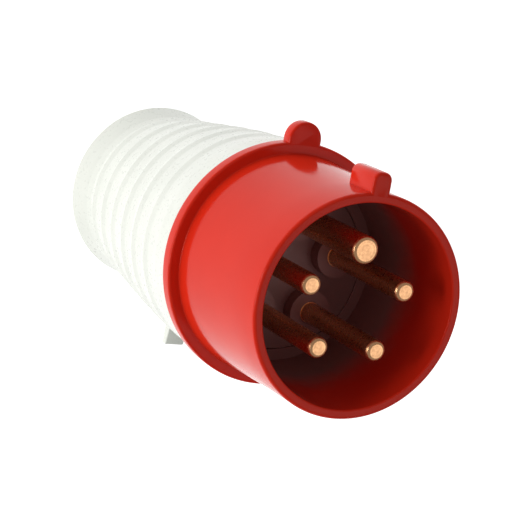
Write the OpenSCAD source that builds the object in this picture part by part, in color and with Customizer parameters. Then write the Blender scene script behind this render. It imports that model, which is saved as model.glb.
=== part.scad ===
// Five-pole industrial pin and sleeve plug, 32 A size, with straight handle.
// It stands on the rear lip of the handle: Z = 0 is that lip and +Z points out
// of the contact end. The key of the collar faces -Y, the lock tab faces +Y.

/* [Collar] */
// Outside radius of the collar at its rim
collar_r = 32; // [31.5:0.1:32.5]
// Outside radius of the collar where it meets the flange
collar_base_r = 33; // [32.6:0.1:33.6]
// Inside radius of the collar at its rim
cup_r = 29.2; // [28.8:0.1:29.6]
// Inside radius of the collar at the floor of the cup
cup_floor_r = 28.8; // [28.4:0.1:29]
// Depth of the cup from the rim to the floor
cup_depth = 47; // [46:0.5:48]
// Radius of the flange
flange_r = 36.4; // [36:0.1:37]
// Thickness of the flange
flange_t = 4.4; // [4:0.1:4.8]
// Width of the key on the rim
key_w = 5.8; // [5:0.1:6.5]
// Distance of the key's top from the axis
key_top = 37.8; // [37.2:0.1:38.4]
// Length of the key along the axis
key_l = 13.5; // [12:0.5:15]
// Radius of the round ear on the flange
ear_r = 5.3; // [4.8:0.1:5.8]

/* [Contacts] */
// Radius of the pin circle
pin_circle = 15.5; // [15:0.1:16]
// Radius of the phase and neutral pins
pin_r = 3; // [2.9:0.05:3.1]
// Radius of the earth pin
earth_r = 4; // [3.9:0.05:4.1]
// Distance of the pin tips behind the rim
pin_setback = 2; // [1.5:0.5:3]
// Height of the insulating bosses around the pins
boss_h = 4.5; // [4:0.5:5]

/* [Handle] */
// Whole length of the plug
total_l = 145; // [144:0.5:146]
// Radius of the flared rear lip
lip_r = 28.75; // [28.5:0.05:29.2]
// Smallest radius of the waist in front of the lip
waist_r = 26.9; // [26.7:0.05:27.2]
// Radius of the handle where it meets the flange
shoulder_r = 35.7; // [35.4:0.1:36]
// Height of the steps between the grip rings, as a part of the full height
ring_depth = 1; // [0.5:0.1:1.2]

/* [Gland] */
// Radius of the cord hole in the rubber seal
cord_r = 9; // [7:0.5:9.3]
// Radius of the thread of the gland nut
nut_r = 21; // [20.8:0.1:21.2]
// Radial clearance of the nut in the handle
nut_gap = 0.05; // [0.02:0.01:0.08]

/* [Lock] */
// Width of the thumb tab
tab_w = 6.4; // [6:0.1:6.6]
// Distance of the tab's tip from the axis
tab_top = 42.5; // [41:0.5:44]
// Travel of the lock slide
lock_travel = 7; // [6.5:0.5:7]
// Turns of the lock spring
spring_turns = 5; // [4:1:6]

/* [Hidden] */
$fn = 96;

floor_z = total_l - cup_depth;
flange_z = floor_z - flange_t;
spigot_z = 74;
spigot_r = 30;
spigot_in = 27.2;
spigot_bore = 30.25;
lug_z = 80;
tip_z = total_l - pin_setback;
seat_z = 88;
barrel_z = 66.2;
clamp_z = 33;
rail_y = 24.4;
spring_y = 21.6;
spring_lo = 44;
spring_hi = 56;
// angle of each pin about the axis, seen from the contact end
earth_a = -90;
pin_angles = [-162, -18, 126, 54];

// grip rings from the rear to the front: [z, radius in front, radius behind]
rings = [[16, 28.0, 27.0], [28, 29.65, 28.5], [40, 31.15, 30.1],
         [51.5, 32.55, 31.6], [63, 33.75, 33.0], [74, 34.5, 34.1]];
function behind(k) = rings[k][1] - (rings[k][1] - rings[k][2]) * ring_depth;

red = [0.88, 0.22, 0.14];
pale = [0.90, 0.92, 0.88];
dark = [0.16, 0.15, 0.15];
brass = [0.83, 0.60, 0.40];
steel = [0.72, 0.73, 0.75];
rubber = [0.08, 0.08, 0.08];

module at_pin(a) rotate([0, 0, a]) translate([pin_circle, 0, 0]) children();

// ------------------------------------------------------------------ front
module front_housing() color(red) {
    difference() {
        union() {
            rotate_extrude() polygon([
                [spigot_in, spigot_z], [spigot_r, spigot_z], [spigot_r, 91], [28.8, 91],
                [28.8, 93.1], [spigot_r, 93.1], [spigot_r, flange_z],
                [flange_r - 0.4, flange_z], [flange_r, flange_z + 0.4],
                [flange_r, floor_z - 0.8], [flange_r - 0.25, floor_z - 0.25],
                [flange_r - 0.8, floor_z],
                [collar_base_r + 0.5, floor_z], [collar_base_r + 0.1, floor_z + 0.2],
                [collar_base_r, floor_z + 0.6],
                [collar_r, total_l - 14], [collar_r, total_l - 0.8],
                [collar_r - 0.25, total_l - 0.25], [collar_r - 0.8, total_l],
                [cup_r + 0.3, total_l], [cup_r, total_l - 0.3],
                [cup_floor_r, floor_z], [25.5, floor_z], [25.5, floor_z - 2.5],
                [spigot_in, floor_z - 2.5], [spigot_in, 90.45], [28.2, 90.45],
                [28.2, 88.85], [spigot_in, 88.85]]);
            // ear on the flange
            translate([0, -(tab_top - ear_r), flange_z]) cylinder(r = ear_r, h = flange_t);
            translate([-ear_r, -(tab_top - ear_r), flange_z]) cube([2 * ear_r, 4, flange_t]);
            // key on the rim, with a round top
            translate([0, 0, total_l - key_l]) linear_extrude(key_l) {
                translate([-key_w / 2, -key_top + 2]) square([key_w, key_top - 32.2]);
                translate([-key_w / 2 + 2, -key_top]) square([key_w - 4, 3]);
                for (s = [-1, 1]) translate([s * (key_w / 2 - 2), -key_top + 2]) circle(r = 2);
            }
            // bayonet lugs
            for (a = [18, 138, 258]) rotate([0, 0, a])
                rotate_extrude(angle = 24) translate([spigot_r - 0.2, lug_z]) square([1.8, 3]);
        }
        // notch for the nose of the lock slide
        translate([-3.5, 26, spigot_z - 1]) cube([7, 6, 7]);
    }
}

module contact_carrier() color(dark) difference() {
    union() {
        rotate_extrude() polygon([[0, 66], [23.8, 66], [23.8, 90.5], [27.1, 90.5],
            [27.1, floor_z - 2.6], [25.4, floor_z - 2.6], [25.4, floor_z - 0.3],
            [25.1, floor_z], [0, floor_z]]);
        at_pin(earth_a) translate([0, 0, floor_z - 1]) cylinder(r = 7.2, h = boss_h + 1);
        for (a = pin_angles) at_pin(a)
            translate([0, 0, floor_z - 1]) cylinder(r = 6.5, h = boss_h + 1);
    }
    at_pin(earth_a) {
        translate([0, 0, 60]) cylinder(r = 5.45, h = seat_z + 0.05 - 60);
        translate([0, 0, 80]) cylinder(r = earth_r + 0.25, h = 30);
    }
    for (a = pin_angles) at_pin(a) {
        translate([0, 0, 60]) cylinder(r = 5.15, h = seat_z + 0.05 - 60);
        translate([0, 0, 80]) cylinder(r = pin_r + 0.25, h = 30);
    }
    // screwdriver holes of the terminals
    for (a = concat([earth_a], pin_angles), z = [71, 78]) rotate([0, 0, a])
        translate([pin_circle, 0, z]) rotate([0, 90, 0]) cylinder(r = 2.5, h = 12);
    // blind hole of the back plate's screw
    translate([0, 0, 60]) cylinder(r = 1.55, h = 24);
}

module carrier_back_plate() color(dark) difference() {
    translate([0, 0, 62.5]) cylinder(r = 23.8, h = 3.4);
    at_pin(earth_a) translate([0, 0, 60]) cylinder(r = 3.9, h = 8);
    for (a = pin_angles) at_pin(a) translate([0, 0, 60]) cylinder(r = 3.7, h = 8);
    translate([0, 0, 60]) cylinder(r = 1.75, h = 8);
}

module back_plate_screw() color(steel) difference() {
    union() {
        rotate_extrude() polygon([[0, 60.2], [2.2, 60.2], [2.9, 60.8], [3, 61.4],
            [3, 62.45], [1.5, 62.45], [1.5, 80.5], [0.5, 82], [0, 82]]);
    }
    for (a = [0, 90]) rotate([0, 0, a]) translate([-1.7, -0.35, 59]) cube([3.4, 0.7, 2.4]);
}

module carrier_snap_ring() color(steel) rotate([0, 0, 60])
    rotate_extrude(angle = 318) translate([24.9, 88.9]) square([3.2, 1.5]);

// ------------------------------------------------------------------ pins
module contact_pin(a, r, barrel, wire) color(brass) difference() {
    at_pin(a) rotate_extrude() polygon([
        [0, barrel_z], [barrel - 0.3, barrel_z], [barrel, barrel_z + 0.3],
        [barrel, seat_z - 0.3], [barrel - 0.3, seat_z], [r + 0.2, seat_z],
        [r + 0.2, floor_z + boss_h], [r, floor_z + boss_h + 0.3],
        [r, tip_z - 0.9], [r - 0.25, tip_z - 0.25], [r - 0.9, tip_z], [0, tip_z]]);
    at_pin(a) translate([0, 0, barrel_z - 1]) cylinder(r = wire, h = 17);
    for (z = [71, 78]) rotate([0, 0, a]) translate([pin_circle, 0, z])
        rotate([0, 90, 0]) cylinder(r = 2.05, h = 8);
}

module earth_pin() contact_pin(earth_a, earth_r, 5.4, 3.1);
module neutral_pin() contact_pin(pin_angles[0], pin_r, 5.1, 2.9);
module phase_pin_l1() contact_pin(pin_angles[1], pin_r, 5.1, 2.9);
module phase_pin_l2() contact_pin(pin_angles[3], pin_r, 5.1, 2.9);
module phase_pin_l3() contact_pin(pin_angles[2], pin_r, 5.1, 2.9);

module terminal_screw() difference() {
    union() {
        translate([17.9, 0, 0]) rotate([0, 90, 0]) cylinder(r1 = 1.4, r2 = 2, h = 0.8);
        translate([18.7, 0, 0]) rotate([0, 90, 0]) cylinder(r = 2, h = 4.4);
    }
    translate([22.1, -3, -0.4]) cube([2, 6, 0.8]);
}

module terminal_screws() color(steel)
    for (a = concat([earth_a], pin_angles), z = [71, 78])
        rotate([0, 0, a]) translate([0, 0, z]) terminal_screw();

module housing_seal() color(rubber) rotate_extrude() polygon([
    [28.85, 91.35], [29.15, 91.05], [29.9, 91.05], [30.2, 91.5], [30.2, 92.6],
    [29.9, 93.05], [29.15, 93.05], [28.85, 92.75]]);

// ------------------------------------------------------------------ handle
module handle_skin() {
    n = len(rings);
    outer = concat(
        [[lip_r - 0.65, 0], [lip_r - 0.25, 0.3], [lip_r, 1.2], [lip_r - 0.35, 3],
         [lip_r - 0.95, 6], [waist_r + 0.25, 9.6], [waist_r, 12.8]],
        [for (k = [0:n - 1], e = [0, 1])
            e == 0 ? [behind(k), rings[k][0] - 0.7] : [rings[k][1], rings[k][0] + 0.6]],
        [[shoulder_r - 0.55, 85], [shoulder_r - 0.05, 92.4], [shoulder_r - 0.35, flange_z - 0.05]]);
    inner = [[spigot_bore, flange_z - 0.05], [spigot_bore, lug_z + 3.3], [32, lug_z + 3.3],
        [32, lug_z - 0.3], [spigot_bore, lug_z - 0.3], [spigot_bore, 63], [29.2, 51.5],
        [27.9, 40], [25.6, 25], [12.5, 25], [12.5, 22.5], [nut_r + nut_gap, 22.5],
        [nut_r + nut_gap, 9.5], [24.3, 9.5], [25.2, 5], [26.4, 0.6], [26.7, 0]];
    rotate_extrude() polygon(concat(outer, inner));
}

module handle() color(pale) difference() {
    union() {
        handle_skin();
        // cradle of the cord clamp on the seal's seat
        difference() {
            translate([-19, 1, 24.5]) cube([38, 15, 14]);
            translate([0, 0, 24]) cylinder(r = 9.6, h = 20);
        }
        // spring abutment and two guides of the lock slide
        for (s = [-1, 1]) {
            translate([s * 4.8 - 1.2, 19.2, 42]) cube([2.4, 9.4, 2]);
            translate([s * 4.8 - 1.2, 22.6, 59.9]) cube([2.4, 7.9, 1.8]);
        }
        translate([-6, 19.2, 42]) cube([12, 4.8, 2]);
        translate([-6, 22.4, 59.9]) cube([12, 1.6, 1.8]);
    }
    // slot of the lock tab, long enough for its travel
    translate([-3.5, rail_y - 0.3, 38.9 - 5.9 - lock_travel - 0.4]) cube([7, 8, 5.9 + lock_travel + 0.4]);
    // entry slots of the bayonet
    for (a = [-14, 106, 226]) rotate([0, 0, a])
        rotate_extrude(angle = 28) translate([29.5, lug_z + 3]) square([2.3, 12]);
    // holes of the clamp screws, with pockets for their nuts
    for (s = [-1, 1]) translate([s * 14.5, 0, clamp_z]) rotate([-90, 0, 0]) {
        cylinder(r = 2.08, h = 17);
        translate([0, 0, 12.6]) cylinder(r = 4.1, h = 5, $fn = 6);
    }
}

module lock_slide() color(pale) {
    // rail inside the handle, with the nose that holds the front
    translate([-3.1, rail_y, 33]) cube([6.2, 2.2, 46.6]);
    translate([-3.1, rail_y, 74.9]) cube([6.2, 5.2, 4.7]);
    // lug that the spring pushes
    translate([-2.6, 19.5, spring_hi]) cube([5.2, 5.5, 2]);
    // thumb tab, thinner towards its tip
    translate([tab_w / 2, 0, 33]) rotate([0, -90, 0]) linear_extrude(tab_w)
        polygon([[0, rail_y], [5.5, rail_y], [5.4, 29.5], [2.7, tab_top - 0.5],
                 [2.2, tab_top], [0.5, tab_top], [0, tab_top - 0.5]]);
}

// helical wire with closed ends flattened to the ring it stands on
function coil_z(t) = spring_lo + 0.4 + (spring_hi - spring_lo - 0.8)
    * (t < 0.12 ? t * 0.5 : t > 0.88 ? 1 - (1 - t) * 0.5 : 0.06 + (t - 0.12) * 0.88 / 0.76);
module lock_spring() color(steel) {
    rw = 0.35;
    rm = 1.85;
    m = 8;
    n = spring_turns * 16;
    pts = [for (i = [0:n], j = [0:m - 1])
        let (t = i / n, a = 360 * spring_turns * t, b = 360 * j / m, rr = rm + rw * cos(b))
            [rr * cos(a), spring_y + rr * sin(a), coil_z(t) + rw * sin(b)]];
    faces = concat(
        [[for (j = [m - 1:-1:0]) j]],
        [for (i = [0:n - 1], j = [0:m - 1], h = [0, 1])
            let (p = i * m + j, q = i * m + (j + 1) % m)
                h == 0 ? [p, q, p + m] : [q, q + m, p + m]],
        [[for (j = [0:m - 1]) n * m + j]]);
    polyhedron(points = pts, faces = faces);
}

// ------------------------------------------------------------------ cord clamp and gland
module cord_clamp_saddle() color(pale) difference() {
    union() {
        intersection() {
            translate([0, 0, 28.5]) cylinder(r = 13, h = 9);
            translate([-14, -14, 28]) cube([28, 14.9, 10]);
        }
        for (s = [-1, 1]) translate([s * 14.5 - 4.5, -4.6, 28.5]) cube([9, 5.5, 9]);
    }
    translate([0, 0, 20]) cylinder(r = 9.6, h = 24);
    for (s = [-1, 1]) translate([s * 14.5, 0, clamp_z]) rotate([-90, 0, 0]) {
        translate([0, 0, -8]) cylinder(r = 2.3, h = 12);
        translate([0, 0, -16]) cylinder(r = 4.1, h = 11.4);
    }
}

module cord_clamp_screws() color(steel) for (s = [-1, 1])
    translate([s * 14.5, 0, clamp_z]) rotate([-90, 0, 0]) difference() {
        rotate_extrude() polygon([[0, -7.2], [2.6, -7.2], [3.6, -6.3], [3.8, -5.4],
            [3.8, -4.65], [2, -4.65], [2, 16.2], [1.6, 16.8], [0, 16.8]]);
        for (a = [0, 90]) rotate([0, 0, a]) translate([-2, -0.4, -8]) cube([4, 0.8, 2.4]);
    }

module cord_clamp_nuts() color(steel) for (s = [-1, 1])
    translate([s * 14.5, 0, clamp_z]) rotate([-90, 0, 0]) difference() {
        translate([0, 0, 12.65]) cylinder(r = 4.02, h = 3.2, $fn = 6);
        translate([0, 0, 10]) cylinder(r = 2.03, h = 8);
    }

module gland_seal() color(rubber) rotate_extrude() polygon([
    [cord_r, 13.95], [17.7, 13.95], [18.1, 14.4], [18.1, 18.9], [17.2, 19.6], [17.2, 21.2],
    [16.4, 22.45], [13.6, 22.45], [13.6, 20.6], [12.9, 20.2], [12.2, 20.6], [12.2, 22.45],
    [cord_r, 22.45]]);

module slip_ring() color(brass) rotate_extrude() polygon([
    [10.6, 12.4], [18.1, 12.4], [18.1, 13.6], [17.9, 13.9], [10.8, 13.9], [10.6, 13.7]]);

module gland_nut() color(pale) difference() {
    rotate_extrude() polygon([[12.4, 3.8], [22.6, 3.8], [23.4, 4.5], [23.4, 6.2], [23, 6.6],
        [nut_r, 6.6], [nut_r, 18.6], [nut_r - 0.4, 19], [18.4, 19], [18.4, 12.35],
        [10.6, 12.35], [10.6, 6.2]]);
    for (a = [0:30:330]) rotate([0, 0, a]) translate([24.8, 0, 3]) cylinder(r = 2.4, h = 3.6);
    for (a = [15:60:315]) rotate([0, 0, a]) translate([16.8, 0, 3]) cylinder(r = 1.9, h = 4);
}

front_housing();
contact_carrier();
carrier_back_plate();
back_plate_screw();
carrier_snap_ring();
earth_pin();
neutral_pin();
phase_pin_l1();
phase_pin_l2();
phase_pin_l3();
terminal_screws();
housing_seal();
handle();
lock_slide();
lock_spring();
cord_clamp_saddle();
cord_clamp_screws();
cord_clamp_nuts();
gland_seal();
slip_ring();
gland_nut();
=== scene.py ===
import bpy
import bmesh
import math
from mathutils import Matrix, Vector


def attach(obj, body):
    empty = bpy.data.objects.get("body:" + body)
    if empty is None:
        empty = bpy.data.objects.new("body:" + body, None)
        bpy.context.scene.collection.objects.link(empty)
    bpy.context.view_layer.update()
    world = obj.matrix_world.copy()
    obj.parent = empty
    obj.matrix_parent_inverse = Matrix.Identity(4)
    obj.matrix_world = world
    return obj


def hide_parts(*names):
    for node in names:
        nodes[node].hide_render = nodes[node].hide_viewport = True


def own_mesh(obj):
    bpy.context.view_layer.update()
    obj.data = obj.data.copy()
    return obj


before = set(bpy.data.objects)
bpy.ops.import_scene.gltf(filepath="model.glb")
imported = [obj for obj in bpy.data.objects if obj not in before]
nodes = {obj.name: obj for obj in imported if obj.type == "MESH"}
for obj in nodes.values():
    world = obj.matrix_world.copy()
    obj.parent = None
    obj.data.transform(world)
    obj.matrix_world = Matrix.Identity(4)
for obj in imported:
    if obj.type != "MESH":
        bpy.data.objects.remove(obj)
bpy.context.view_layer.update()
MM = 0.001


# ------------------------------------------------------------------ mesh helpers
def fillet(points, default=0.0):
    """Profile points (r, z[, fillet radius]) to a list of (r, z) with round corners."""
    n = len(points)
    out = []
    for i, p in enumerate(points):
        rad = p[2] if len(p) > 2 else default
        a = Vector(points[(i - 1) % n][:2])
        b = Vector(p[:2])
        c = Vector(points[(i + 1) % n][:2])
        u = (a - b)
        v = (c - b)
        if rad <= 0 or u.length < 1e-6 or v.length < 1e-6:
            out.append((b.x, b.y))
            continue
        cosang = max(-1, min(1, u.normalized().dot(v.normalized())))
        ang = math.acos(cosang)
        if ang > math.radians(179):
            out.append((b.x, b.y))
            continue
        t = rad / math.tan(ang / 2)
        t = min(t, 0.47 * u.length, 0.47 * v.length)
        r2 = t * math.tan(ang / 2)
        p0 = b + u.normalized() * t
        p1 = b + v.normalized() * t
        bis = (u.normalized() + v.normalized()).normalized()
        centre = b + bis * (r2 / math.sin(ang / 2))
        a0 = math.atan2(p0.y - centre.y, p0.x - centre.x)
        a1 = math.atan2(p1.y - centre.y, p1.x - centre.x)
        d = (a1 - a0 + math.pi) % (2 * math.pi) - math.pi
        steps = max(3, int(abs(d) / math.radians(11)) + 1)
        for k in range(steps + 1):
            q = a0 + d * k / steps
            out.append((centre.x + r2 * math.cos(q), centre.y + r2 * math.sin(q)))
    clean = []
    for q in out:
        if not clean or math.hypot(q[0] - clean[-1][0], q[1] - clean[-1][1]) > 1e-4:
            clean.append(q)
    if math.hypot(clean[0][0] - clean[-1][0], clean[0][1] - clean[-1][1]) < 1e-4:
        clean.pop()
    return clean


def lathe(name, profile, segs=192, start=0.0, sweep=360.0, centre=(0, 0)):
    """Closed solid of revolution about a vertical axis, from a closed profile in mm."""
    bm = bmesh.new()
    full = sweep >= 359.99
    cols = segs if full else segs + 1
    rings = []
    for j in range(cols):
        a = math.radians(start + sweep * j / segs)
        row = []
        for r, z in profile:
            row.append(bm.verts.new(((centre[0] + r * math.cos(a)) * MM, (centre[1] + r * math.sin(a)) * MM, z * MM)))
        rings.append(row)
    n = len(profile)
    for j in range(segs):
        ra = rings[j]
        rb = rings[(j + 1) % cols]
        for i in range(n):
            k = (i + 1) % n
            if profile[i][0] < 1e-6 and profile[k][0] < 1e-6:
                continue
            if profile[i][0] < 1e-6:
                bm.faces.new((ra[i], rb[k], ra[k]))
            elif profile[k][0] < 1e-6:
                bm.faces.new((ra[i], rb[i], ra[k]))
            else:
                bm.faces.new((ra[i], rb[i], rb[k], ra[k]))
    if not full:
        bm.faces.new(rings[0])
        bm.faces.new(list(reversed(rings[-1])))
    bmesh.ops.remove_doubles(bm, verts=bm.verts, dist=1e-7)
    bmesh.ops.recalc_face_normals(bm, faces=bm.faces)
    me = bpy.data.meshes.new(name)
    bm.to_mesh(me)
    bm.free()
    ob = bpy.data.objects.new(name, me)
    bpy.context.scene.collection.objects.link(ob)
    return ob


def prism(name, outline, z0, z1, plane="XY"):
    """Prism of a 2D outline in mm. XY: outline is (x, y), height along z. YZ: outline is (y, z), width along x."""
    bm = bmesh.new()
    def at(p, h):
        if plane == "XY":
            return (p[0] * MM, p[1] * MM, h * MM)
        if plane == "YZ":
            return (h * MM, p[0] * MM, p[1] * MM)
        return (p[0] * MM, h * MM, p[1] * MM)
    lo = [bm.verts.new(at(p, z0)) for p in outline]
    hi = [bm.verts.new(at(p, z1)) for p in outline]
    n = len(outline)
    bm.faces.new(lo)
    bm.faces.new(list(reversed(hi)))
    for i in range(n):
        k = (i + 1) % n
        bm.faces.new((lo[i], hi[i], hi[k], lo[k]))
    bmesh.ops.recalc_face_normals(bm, faces=bm.faces)
    me = bpy.data.meshes.new(name)
    bm.to_mesh(me)
    bm.free()
    ob = bpy.data.objects.new(name, me)
    bpy.context.scene.collection.objects.link(ob)
    return ob


def block(name, x0, y0, z0, x1, y1, z1):
    return prism(name, [(x0, y0), (x1, y0), (x1, y1), (x0, y1)], z0, z1)


def apply_mods(ob):
    bpy.context.view_layer.update()
    dg = bpy.context.evaluated_depsgraph_get()
    me = bpy.data.meshes.new_from_object(ob.evaluated_get(dg))
    ob.modifiers.clear()
    old = ob.data
    ob.data = me
    me.name = ob.name
    bpy.data.meshes.remove(old)


def bevel(ob, width, segs=3, angle=30):
    m = ob.modifiers.new("bevel", "BEVEL")
    m.width = width * MM
    m.segments = segs
    m.limit_method = "ANGLE"
    m.angle_limit = math.radians(angle)
    apply_mods(ob)
    return ob


def boolean(ob, tool, op):
    m = ob.modifiers.new("bool", "BOOLEAN")
    m.operation = op
    m.solver = "EXACT"
    m.object = tool
    apply_mods(ob)
    bpy.data.objects.remove(tool)
    return ob


def shade(ob, angle=32):
    """Smooth faces, with edges sharper than the angle kept sharp."""
    bm = bmesh.new()
    bm.from_mesh(ob.data)
    for f in bm.faces:
        f.smooth = True
    lim = math.radians(angle)
    for e in bm.edges:
        e.smooth = not (len(e.link_faces) == 2 and e.calc_face_angle(0) > lim)
    bm.to_mesh(ob.data)
    bm.free()
    return ob


# ------------------------------------------------------------------ materials
def new_mat(name):
    m = bpy.data.materials.new(name)
    m.use_nodes = True
    nt = m.node_tree
    b = nt.nodes["Principled BSDF"]
    return m, nt, b


def coords(nt, scale=(1, 1, 1), loc=(0, 0, 0)):
    tc = nt.nodes.new("ShaderNodeTexCoord")
    mp = nt.nodes.new("ShaderNodeMapping")
    mp.inputs["Scale"].default_value = scale
    mp.inputs["Location"].default_value = loc
    nt.links.new(tc.outputs["Object"], mp.inputs["Vector"])
    return mp.outputs["Vector"]


def noise(nt, vec, scale, detail=4, rough=0.55):
    n = nt.nodes.new("ShaderNodeTexNoise")
    n.inputs["Scale"].default_value = scale
    n.inputs["Detail"].default_value = detail
    n.inputs["Roughness"].default_value = rough
    nt.links.new(vec, n.inputs["Vector"])
    return n.outputs["Fac"]


def ramp(nt, fac, stops):
    r = nt.nodes.new("ShaderNodeValToRGB")
    el = r.color_ramp.elements
    while len(el) < len(stops):
        el.new(0.5)
    for e, (p, c) in zip(el, stops):
        e.position = p
        e.color = tuple(c) + (1,) if len(c) == 3 else tuple(c)
    nt.links.new(fac, r.inputs["Fac"])
    return r.outputs["Color"]


def maprange(nt, v, a, b, c, d):
    m = nt.nodes.new("ShaderNodeMapRange")
    m.inputs["From Min"].default_value = a
    m.inputs["From Max"].default_value = b
    m.inputs["To Min"].default_value = c
    m.inputs["To Max"].default_value = d
    nt.links.new(v, m.inputs["Value"])
    return m.outputs["Result"]


def math_node(nt, op, a, b):
    m = nt.nodes.new("ShaderNodeMath")
    m.operation = op
    for i, v in enumerate((a, b)):
        if isinstance(v, (int, float)):
            m.inputs[i].default_value = v
        else:
            nt.links.new(v, m.inputs[i])
    return m.outputs["Value"]


def bump(nt, b, height, strength, dist, prev=None):
    n = nt.nodes.new("ShaderNodeBump")
    n.inputs["Strength"].default_value = strength
    n.inputs["Distance"].default_value = dist
    nt.links.new(height, n.inputs["Height"])
    if prev is not None:
        nt.links.new(prev, n.inputs["Normal"])
    nt.links.new(n.outputs["Normal"], b.inputs["Normal"])
    return n.outputs["Normal"]


def moulded(name, base, dark, rough, spec=0.5, coat=0.0, sss=0.0, grime=0.0):
    """Moulded plastic: slight cloudiness, flow marks, fine scratches and a faint orange peel."""
    m, nt, b = new_mat(name)
    v = coords(nt)
    cloud = noise(nt, v, 55, 3)
    col = ramp(nt, cloud, [(0.3, dark), (0.7, base)])
    nt.links.new(col, b.inputs["Base Color"])
    fine = noise(nt, v, 900, 4, 0.6)
    r = maprange(nt, fine, 0.3, 0.7, rough * 0.8, rough * 1.25)
    nt.links.new(r, b.inputs["Roughness"])
    b.inputs["Specular IOR Level"].default_value = spec
    if coat:
        b.inputs["Coat Weight"].default_value = coat
        b.inputs["Coat Roughness"].default_value = 0.08
    if sss:
        b.inputs["Subsurface Weight"].default_value = sss
        b.inputs["Subsurface Scale"].default_value = 0.001
        b.inputs["Subsurface Radius"].default_value = (1.0, 0.35, 0.2) if base[1] < 0.3 else (1, 0.95, 0.9)
    peel = noise(nt, v, 260, 2)
    n1 = bump(nt, b, peel, 0.05, 0.0004)
    sv = coords(nt, (1, 1, 0.04))
    scr = noise(nt, sv, 1500, 2)
    bump(nt, b, scr, 0.03, 0.0001, n1)
    return m


def paint_cup_shade(mat, deep, r_in, z_hi, z_lo):
    """Painted shade deep inside the cup: the base colour turns dark brown by radius and depth."""
    nt = mat.node_tree
    b = nt.nodes["Principled BSDF"]
    old = b.inputs["Base Color"].links[0].from_socket
    v = coords(nt)
    sep = nt.nodes.new("ShaderNodeSeparateXYZ")
    nt.links.new(v, sep.inputs[0])
    xx = math_node(nt, "MULTIPLY", sep.outputs["X"], sep.outputs["X"])
    yy = math_node(nt, "MULTIPLY", sep.outputs["Y"], sep.outputs["Y"])
    rad = math_node(nt, "SQRT", math_node(nt, "ADD", xx, yy), 0.0)
    inside = math_node(nt, "LESS_THAN", rad, r_in)
    cloud = noise(nt, v, 70, 3)
    z = math_node(nt, "ADD", sep.outputs["Z"], math_node(nt, "MULTIPLY", math_node(nt, "SUBTRACT", cloud, 0.5), 0.012))
    depth = nt.nodes.new("ShaderNodeMapRange")
    depth.interpolation_type = "SMOOTHSTEP"
    depth.inputs["From Min"].default_value = z_hi
    depth.inputs["From Max"].default_value = z_lo
    nt.links.new(z, depth.inputs["Value"])
    fac = math_node(nt, "MULTIPLY", inside, depth.outputs["Result"])
    mix = nt.nodes.new("ShaderNodeMix")
    mix.data_type = "RGBA"
    nt.links.new(fac, mix.inputs["Factor"])
    nt.links.new(old, mix.inputs["A"])
    mix.inputs["B"].default_value = tuple(deep) + (1,)
    nt.links.new(mix.outputs["Result"], b.inputs["Base Color"])


def specks(mat, colour, scale, size, sparse):
    """Small scattered dirt specks."""
    nt = mat.node_tree
    b = nt.nodes["Principled BSDF"]
    old = b.inputs["Base Color"].links[0].from_socket
    v = coords(nt)
    vor = nt.nodes.new("ShaderNodeTexVoronoi")
    vor.inputs["Scale"].default_value = scale
    nt.links.new(v, vor.inputs["Vector"])
    dot = maprange(nt, vor.outputs["Distance"], size * 0.6, size, 1.0, 0.0)
    patch = maprange(nt, noise(nt, v, 60, 2), sparse, sparse + 0.06, 0.0, 1.0)
    fac = math_node(nt, "MULTIPLY", dot, patch)
    mix = nt.nodes.new("ShaderNodeMix")
    mix.data_type = "RGBA"
    nt.links.new(fac, mix.inputs["Factor"])
    nt.links.new(old, mix.inputs["A"])
    mix.inputs["B"].default_value = tuple(colour) + (1,)
    nt.links.new(mix.outputs["Result"], b.inputs["Base Color"])


RED = moulded("red_plastic_look", (0.71, 0.025, 0.009), (0.67, 0.022, 0.008), 0.13, 0.40)
RED.node_tree.nodes["Principled BSDF"].inputs["IOR"].default_value = 1.24
PALE = moulded("pale_plastic_look", (0.82, 0.84, 0.78), (0.75, 0.775, 0.715), 0.30, 0.45)
DARK = moulded("dark_plastic_look", (0.34, 0.160, 0.150), (0.29, 0.138, 0.130), 0.34, 0.45)
RUBBER = moulded("rubber_look", (0.025, 0.025, 0.026), (0.018, 0.018, 0.019), 0.62, 0.3)


# painted shade: the red inner wall of the cup darkens to brown towards the contact carrier
paint_cup_shade(RED, (0.33, 0.150, 0.140), 0.0297, 0.129, 0.110)
def paint_lip_shadow(mat, colour, z_hi):
    """Painted contact shadow: a thin dark line along the rear lip, where it stands on the floor."""
    nt = mat.node_tree
    b = nt.nodes["Principled BSDF"]
    old = b.inputs["Base Color"].links[0].from_socket
    v = coords(nt)
    sep = nt.nodes.new("ShaderNodeSeparateXYZ")
    nt.links.new(v, sep.inputs[0])
    z = math_node(nt, "ADD", sep.outputs["Z"], math_node(nt, "MULTIPLY", noise(nt, v, 90, 3), 0.0006))
    fac = math_node(nt, "MULTIPLY", maprange(nt, z, z_hi * 0.7, z_hi, 1.0, 0.0), 0.85)
    mix = nt.nodes.new("ShaderNodeMix")
    mix.data_type = "RGBA"
    nt.links.new(fac, mix.inputs["Factor"])
    nt.links.new(old, mix.inputs["A"])
    mix.inputs["B"].default_value = tuple(colour) + (1,)
    nt.links.new(mix.outputs["Result"], b.inputs["Base Color"])


# painted shadow: a thin dark grey-green line along the handle's rear lip at the floor
paint_lip_shadow(PALE, (0.33, 0.36, 0.34), 0.0012)
specks(PALE, (0.42, 0.43, 0.39), 200, 0.06, 0.74)


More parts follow.
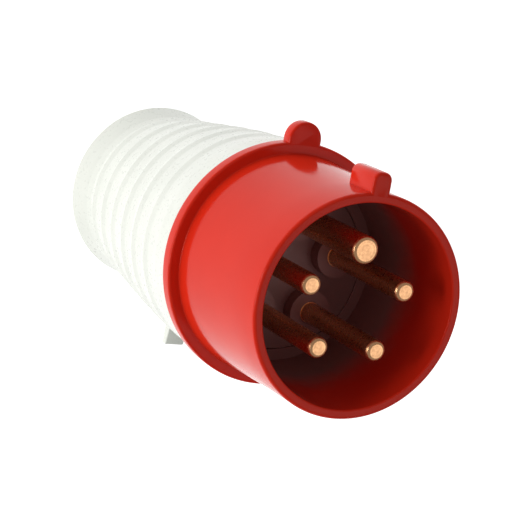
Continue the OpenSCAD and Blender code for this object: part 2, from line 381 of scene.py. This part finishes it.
def metal(name, base, dark, rough, axis_xy=None, rings=False):
    m, nt, b = new_mat(name)
    b.inputs["Metallic"].default_value = 1.0
    loc = (-axis_xy[0], -axis_xy[1], 0) if axis_xy else (0, 0, 0)
    v = coords(nt, loc=loc)
    cloud = noise(nt, v, 160, 3)
    col = ramp(nt, cloud, [(0.3, dark), (0.68, base)])
    nt.links.new(col, b.inputs["Base Color"])
    fine = noise(nt, v, 1100, 2)
    nt.links.new(maprange(nt, fine, 0.3, 0.7, rough * 0.75, rough * 1.3), b.inputs["Roughness"])
    prev = None
    if rings:
        sep = nt.nodes.new("ShaderNodeSeparateXYZ")
        nt.links.new(v, sep.inputs[0])
        xx = math_node(nt, "MULTIPLY", sep.outputs["X"], sep.outputs["X"])
        yy = math_node(nt, "MULTIPLY", sep.outputs["Y"], sep.outputs["Y"])
        rad = math_node(nt, "SQRT", math_node(nt, "ADD", xx, yy), 0.0)
        wave = math_node(nt, "SINE", math_node(nt, "MULTIPLY", rad, 6500.0), 0.0)
        prev = bump(nt, b, wave, 0.22, 0.00004)
    bump(nt, b, fine, 0.02, 0.00002, prev)
    return m


STEEL = metal("steel_look", (0.70, 0.71, 0.72), (0.55, 0.56, 0.58), 0.30)
BRASS = metal("slip_ring_look", (0.85, 0.55, 0.30), (0.70, 0.42, 0.22), 0.32)


def set_mat(ob, m):
    ob.data.materials.clear()
    ob.data.materials.append(m)


# ------------------------------------------------------------------ front housing
L = 145.0
FZ = 98.0
GZ = 93.6
front = lathe("collar", fillet([
    (27.2, 74, .3), (30, 74, .4), (30, 91), (28.8, 91), (28.8, 93.1), (30, 93.1), (30, GZ),
    (36.4, GZ, .5), (36.4, FZ, .8), (33.05, FZ, .35), (32.0, 131), (32.0, L, 1.0), (29.2, L, .5),
    (28.8, FZ), (25.5, FZ, .2), (25.5, 95.5), (27.2, 95.5), (27.2, 90.45), (28.2, 90.45),
    (28.2, 88.85), (27.2, 88.85)]), 256)


def arc(cx, cy, r, a0, a1, n):
    return [(cx + r * math.cos(math.radians(a0 + (a1 - a0) * i / n)),
             cy + r * math.sin(math.radians(a0 + (a1 - a0) * i / n))) for i in range(n + 1)]


ear_out = [(5.2, -34.6)] + [(5.25, -35.6)] + list(reversed(arc(0, -37.2, 5.25, 180, 360, 40))) + [(-5.25, -35.6), (-5.2, -34.6)]
ear = prism("ear", ear_out, GZ + 0.02, FZ - 0.02)
bevel(ear, 0.75, 4, 50)
boolean(front, ear, "UNION")
key_out = [(2.9, -30.4)] + list(reversed(arc(0.55, -35.3, 2.35, 270, 360, 14))) + list(reversed(arc(-0.55, -35.3, 2.35, 180, 270, 14))) + [(-2.9, -30.4)]
key = prism("key", key_out, L - 13.5, L - 0.03)
bevel(key, 0.8, 4, 50)
boolean(front, key, "UNION")
for a in (18, 138, 258):
    boolean(front, lathe("lug", [(29.6, 80), (31.6, 80), (31.6, 83), (29.6, 83)], 12, a, 24), "UNION")
boolean(front, block("notch", -3.5, 26, 73, 3.5, 32, 80), "DIFFERENCE")
shade(front, 28)
set_mat(front, RED)
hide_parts("front_housing")
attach(front, "plug_body")

# ------------------------------------------------------------------ handle
rings = [(16, 28.0, 27.0), (28, 29.65, 28.5), (40, 31.15, 30.1), (51.5, 32.55, 31.6), (63, 33.75, 33.0), (74, 34.5, 34.1)]
outer = [(28.1, 0, .25), (28.5, 0.3, .3), (28.75, 1.2, .6), (28.4, 3, 3), (27.8, 6, 6), (27.15, 9.6, 6), (26.9, 12.8, 2.5)]
for z, hi, lo in rings:
    outer.append((lo, z - 1.9, 3.0))
    outer.append((hi, z + 0.7, 0.5))
    outer.append((hi - 0.28, z + 3.4, 4.0))
outer += [(35.15, 85, 20), (35.65, 92.4, .5), (35.35, 93.55, .2)]
inner = [(30.25, 93.55, .2), (30.25, 83.3), (32, 83.3), (32, 79.7), (30.25, 79.7), (30.25, 63, 4), (29.2, 51.5, 8),
         (27.9, 40, 8), (25.6, 25, .4), (12.5, 25, .3), (12.5, 22.5, .3), (21.05, 22.5), (21.05, 9.5, .2), (24.3, 9.5, .2),
         (25.2, 5, 4), (26.4, 0.6, .3), (26.7, 0, .1)]
handle = lathe("handle_shell", fillet(outer + inner), 208)
cradle = block("cradle", -19, 1, 24.5, 19, 16, 38.5)
bevel(cradle, 0.5, 2)
boolean(cradle, lathe("cord_way", [(0, 20), (9.6, 20), (9.6, 45), (0, 45)], 64), "DIFFERENCE")
boolean(handle, cradle, "UNION")
for s in (-1, 1):
    boolean(handle, block("post", s * 4.8 - 1.2, 19.2, 42, s * 4.8 + 1.2, 28.6, 44), "UNION")
    boolean(handle, block("post", s * 4.8 - 1.2, 22.6, 59.9, s * 4.8 + 1.2, 30.5, 61.7), "UNION")
boolean(handle, block("bridge", -5.9, 19.2, 42.02, 5.9, 24, 43.98), "UNION")
boolean(handle, block("bridge", -5.9, 22.4, 59.92, 5.9, 24, 61.68), "UNION")
boolean(handle, block("slot", -3.5, 24.1, 25.6, 3.5, 32.1, 38.9), "DIFFERENCE")
shade(handle, 28)
set_mat(handle, PALE)
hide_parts("handle")
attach(handle, "plug_body")

# ------------------------------------------------------------------ lock slide
slide = prism("lock_tab", [(24.4, 33.0), (24.4, 38.5), (29.5, 38.4), (42.0, 35.7), (42.5, 35.2), (42.5, 33.5), (42.0, 33.0)],
              -3.2, 3.2, "YZ")
bevel(slide, 0.45, 3, 25)
rail = block("rail", -3.1, 24.4, 33.02, 3.1, 26.6, 79.6)
bevel(rail, 0.25, 2)
boolean(slide, rail, "UNION")
nose = block("nose", -3.1, 24.42, 74.9, 3.1, 29.6, 79.58)
bevel(nose, 0.3, 2)
boolean(slide, nose, "UNION")
boolean(slide, block("lug", -2.6, 19.5, 56, 2.6, 25, 58), "UNION")
shade(slide, 28)
set_mat(slide, PALE)
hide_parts("lock_slide")
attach(slide, "lock_slide_body")

# ------------------------------------------------------------------ lock spring
def coil(name, cx, cy, z0, z1, r, wire, turns, per=36, sides=12):
    bm = bmesh.new()
    n = int(turns * per)
    rows = []
    pts = []
    for i in range(n + 1):
        t = i / n
        flat = 0.6 / turns
        u = min(1.0, max(0.0, (t - flat) / (1 - 2 * flat)))
        z = z0 + wire + u * (z1 - z0 - 2 * wire)
        a = 2 * math.pi * turns * t
        pts.append(Vector((cx + r * math.cos(a), cy + r * math.sin(a), z)))
    for i, p in enumerate(pts):
        tan = (pts[min(i + 1, n)] - pts[max(i - 1, 0)]).normalized()
        out = Vector((p.x - cx, p.y - cy, 0)).normalized()
        up = tan.cross(out).normalized()
        out = up.cross(tan).normalized()
        rows.append([bm.verts.new((p + (out * math.cos(2 * math.pi * k / sides) + up * math.sin(2 * math.pi * k / sides)) * wire) * MM)
                     for k in range(sides)])
    for i in range(n):
        for k in range(sides):
            m = (k + 1) % sides
            bm.faces.new((rows[i][k], rows[i][m], rows[i + 1][m], rows[i + 1][k]))
    bm.faces.new(list(reversed(rows[0])))
    bm.faces.new(rows[-1])
    bmesh.ops.recalc_face_normals(bm, faces=bm.faces)
    me = bpy.data.meshes.new(name)
    bm.to_mesh(me)
    bm.free()
    ob = bpy.data.objects.new(name, me)
    bpy.context.scene.collection.objects.link(ob)
    return ob


spring = coil("lock_spring_wire", 0, 21.6, 44.02, 55.96, 1.85, 0.35, 5)
shade(spring, 40)
set_mat(spring, STEEL)
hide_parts("lock_spring")
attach(spring, "plug_body")
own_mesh(spring)

# ------------------------------------------------------------------ CAD nodes that stay
for n in ("contact_carrier", "carrier_back_plate"):
    set_mat(nodes[n], DARK)
for n in ("back_plate_screw", "carrier_snap_ring", "terminal_screws", "cord_clamp_screws", "cord_clamp_nuts"):
    set_mat(nodes[n], STEEL)
for n in ("housing_seal", "gland_seal"):
    set_mat(nodes[n], RUBBER)
for n in ("cord_clamp_saddle", "gland_nut"):
    set_mat(nodes[n], PALE)
set_mat(nodes["slip_ring"], BRASS)
for n, a, r, rb, rw in (("earth_pin", -90, 4.0, 5.4, 3.1), ("neutral_pin", -162, 3.0, 5.1, 2.9), ("phase_pin_l1", -18, 3.0, 5.1, 2.9),
                    ("phase_pin_l2", 54, 3.0, 5.1, 2.9), ("phase_pin_l3", 126, 3.0, 5.1, 2.9)):
    cx, cy = 15.5 * math.cos(math.radians(a)), 15.5 * math.sin(math.radians(a))
    pin = lathe(n + "_turned", fillet([
        (0, 143), (0, 83.2), (rw, 83.2 - 0.6 * rw), (rw, 66.2, .2), (rb, 66.2, .3), (rb, 88, .3), (r + 0.2, 88, .1), (r + 0.2, 102.5, .1),
        (r, 102.5), (r, 142.0, .6), (r - 0.35, 142.7, .5), (r - 1.0, 142.99, .8)]), 72, centre=(cx, cy))
    for z in (71, 78):
        hole = lathe("hole", [(0, 0), (2.05, 0), (2.05, 12), (0, 12)], 32)
        hole.data.transform(Matrix.Translation((cx * MM, cy * MM, z * MM)) @ Matrix.Rotation(math.radians(a), 4, "Z") @ Matrix.Rotation(math.radians(90), 4, "Y"))
        boolean(pin, hole, "DIFFERENCE")
    shade(pin, 30)
    set_mat(pin, metal(n + "_look", (0.93, 0.52, 0.27), (0.86, 0.46, 0.23), 0.30, (cx * MM, cy * MM), True))
    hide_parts(n)
    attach(pin, "plug_body")

# ------------------------------------------------------------------ floor, light, camera
fl = bpy.data.meshes.new("floor")
fl.from_pydata([(-12, -12, 0), (12, -12, 0), (12, 12, 0), (-12, 12, 0)], [], [(0, 1, 2, 3)])
floor = bpy.data.objects.new("floor", fl)
bpy.context.scene.collection.objects.link(floor)
fm, fnt, fb = new_mat("floor_look")
fb.inputs["Base Color"].default_value = (0.93, 0.93, 0.93, 1)
fb.inputs["Roughness"].default_value = 0.8
fb.inputs["Emission Color"].default_value = (1, 1, 1, 1)
fb.inputs["Emission Strength"].default_value = 0.82
fb.inputs["Specular IOR Level"].default_value = 0.2
set_mat(floor, fm)

world = bpy.data.worlds.new("studio")
bpy.context.scene.world = world
world.use_nodes = True
bg = world.node_tree.nodes["Background"]
bg.inputs["Color"].default_value = (1.0, 1.0, 1.0, 1)
bg.inputs["Strength"].default_value = 0.30


def area(name, pos, target, size, power, color=(1, 1, 1)):
    li = bpy.data.lights.new(name, "AREA")
    li.shape = "RECTANGLE"
    li.size, li.size_y = size
    li.energy = power
    li.color = color
    ob = bpy.data.objects.new(name, li)
    bpy.context.scene.collection.objects.link(ob)
    d = Vector(target) - Vector(pos)
    ob.location = pos
    ob.rotation_euler = d.to_track_quat("-Z", "Y").to_euler()
    return ob


bpy.context.scene.view_settings.view_transform = "Standard"
bpy.context.scene.view_settings.look = "None"

mid = (0, 0, 0.075)
area("key_light", (0.80, 0.04, 0.22), (0, 0, 0.09), (0.40, 0.28), 2.35, (1.0, 0.99, 0.96))
area("low_fill", (0.35, 0.75, 0.10), mid, (0.5, 0.3), 0.2, (0.80, 0.95, 1.0))
area("tip_light", (-0.42, 0.17, 0.90), mid, (0.45, 0.45), 0.72, (1.0, 0.99, 0.97))

RIGHT = Vector((-0.88369611, -0.17344677, 0.43473832))
DOWN = Vector((-0.06846312, 0.96671562, 0.24652325))
FWD = Vector((-0.46302699, 0.1880881, -0.86615754))
FWD.normalize()
RIGHT = (RIGHT - FWD * RIGHT.dot(FWD)).normalized()
DOWN = FWD.cross(RIGHT).normalized()
cam = bpy.data.cameras.new("camera")
cam.sensor_width = 36.0
cam.lens = 2087.757 / 528 * 36.0
cam.clip_start = 0.01
camob = bpy.data.objects.new("camera", cam)
bpy.context.scene.collection.objects.link(camob)
m = Matrix((
    (RIGHT.x, -DOWN.x, -FWD.x, 0.286691),
    (RIGHT.y, -DOWN.y, -FWD.y, -0.113781),
    (RIGHT.z, -DOWN.z, -FWD.z, 0.622432),
    (0, 0, 0, 1)))
camob.matrix_world = m
bpy.context.scene.camera = camob
